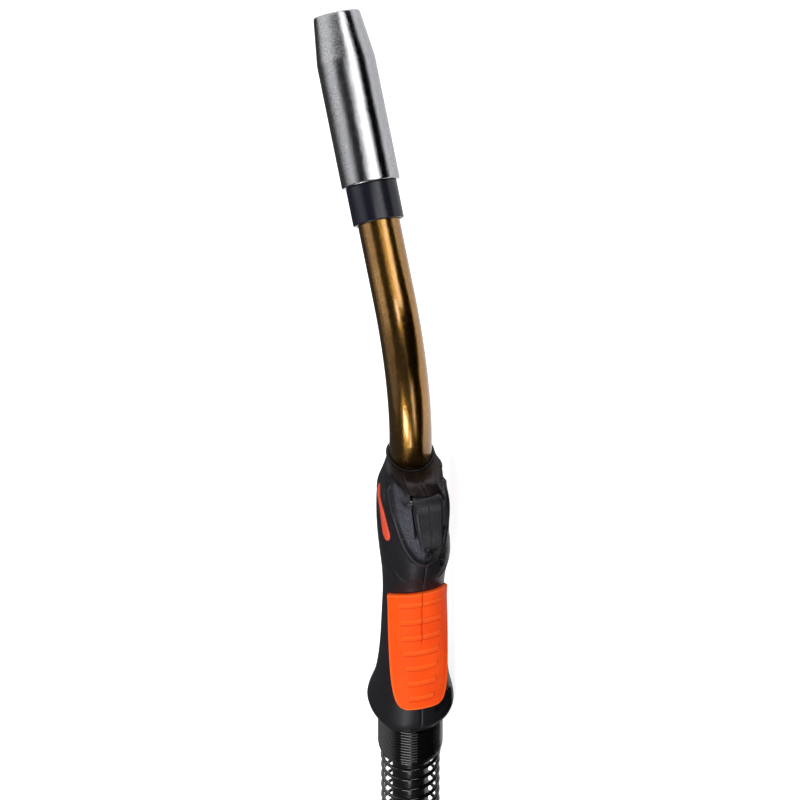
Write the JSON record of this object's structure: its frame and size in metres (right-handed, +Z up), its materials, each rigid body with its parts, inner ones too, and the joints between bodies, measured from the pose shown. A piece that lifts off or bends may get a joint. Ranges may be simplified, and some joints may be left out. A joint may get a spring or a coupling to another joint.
{
  "type": "mig welding torch",
  "caption": "Hand-held gas-shielded wire welding torch with a bent brass neck, chromed nozzle, two-shell soft-grip handle, coiled lead and central connector.",
  "frame": {"origin": "on the bench under the middle of the torch's own box, measured from the support spring's end to the nozzle's mouth, without the lead and its connector", "axes": "+X from the lead to the neck along the handle, +Y the side the neck bends to, away from the trigger, +Z up, with the torch lying on its right flank"},
  "size_m": [0.6146, 0.3828, 0.048],
  "materials": {
    "chrome": "polished, seamed along its length",
    "black_plastic": "satin black, moulded",
    "trigger_plastic": "satin black",
    "spring_steel": "bright wire and turned steel",
    "black_spring": "gloss black",
    "brass": "polished",
    "copper": "bare copper",
    "neck_insulation": "plain",
    "liner_steel": "wound spring wire",
    "core_jacket": "matt",
    "orange_grip": "soft grip, finely grained",
    "orange_label": "gloss inlay, bare",
    "wire_jacket": "plain",
    "cable_jacket": "smooth, glossy",
    "tie_fabric": "hook and loop strap",
    "boot_rubber": "matt",
    "plug_plastic": "moulded, finely textured"
  },
  "bodies": {
    "torch": {"nozzle_insulator": "black_plastic", "nozzle_spring": "spring_steel", "gas_diffuser": "brass", "contact_tip": "copper", "neck_tube": "brass", "neck_insulation": "neck_insulation", "neck_conductor": "copper", "wire_liner": "liner_steel", "neck_collar": "black_plastic", "neck_nut": "brass", "power_block": "brass", "cable_crimp": "copper", "cable_core": "core_jacket", "handle_left": "black_plastic", "handle_right": "black_plastic", "grip_pad_left": "orange_grip", "grip_pad_right": "orange_grip", "label_inlay_left": "orange_label", "label_inlay_right": "orange_label", "handle_screws": "spring_steel", "trigger_pin": "spring_steel", "trigger_spring": "spring_steel", "switch_body": "black_plastic", "switch_terminals": "brass", "control_wires": "wire_jacket", "spring_bush": "black_plastic", "support_spring": "black_spring", "cable_run": "cable_jacket", "cable_coil": "cable_jacket", "cable_tail": "cable_jacket", "coil_ties": "tie_fabric", "connector_boot": "boot_rubber", "connector_shell_upper": "plug_plastic", "connector_shell_lower": "plug_plastic", "connector_screws": "spring_steel", "connector_body": "black_plastic", "power_pin": "brass", "pin_oring": "boot_rubber", "liner_nut": "brass"},
    "trigger": {"trigger": "trigger_plastic"},
    "plunger": {"switch_plunger": "orange_grip"},
    "nozzle": {"gas_nozzle": "chrome"},
    "union_nut": {"connector_nut": "plug_plastic"},
    "pin_a": {"contact_pin_a": "brass"},
    "pin_b": {"contact_pin_b": "brass"}
  },
  "joints": [
    {"name": "trigger_pivot", "type": "hinge", "parent": "torch", "child": "trigger", "pos_m": [0.04903, -0.0715, 0.0189], "axis": [0, 0, -1], "range_deg": [0, 8], "stiffness_Nm_per_rad": 0.25, "springref_deg": -2.86},
    {"name": "plunger_slide", "type": "slide", "parent": "torch", "child": "plunger", "axis": [0, 1, 0], "range_m": [0, 0.00189]},
    {"name": "nozzle_pull", "type": "slide", "parent": "torch", "child": "nozzle", "axis": [0.6428, 0.766, 0], "range_m": [0, 0.04]},
    {"name": "union_nut_spin", "type": "hinge", "parent": "torch", "child": "union_nut", "pos_m": [-0.07757, -0.27491, 0.024], "axis": [1, 0, 0], "continuous": true},
    {"name": "pin_a_slide", "type": "slide", "parent": "torch", "child": "pin_a", "axis": [-1, 0, 0], "range_m": [0, 0.003], "stiffness_N_per_m": 300, "springref_m": -0.002},
    {"name": "pin_b_slide", "type": "slide", "parent": "torch", "child": "pin_b", "axis": [-1, 0, 0], "range_m": [0, 0.003], "stiffness_N_per_m": 300, "springref_m": -0.002}
  ],
  "couplings": [
    {"joint": "plunger_slide", "follows": "trigger_pivot", "m_per_rad": 0.0135}
  ]
}
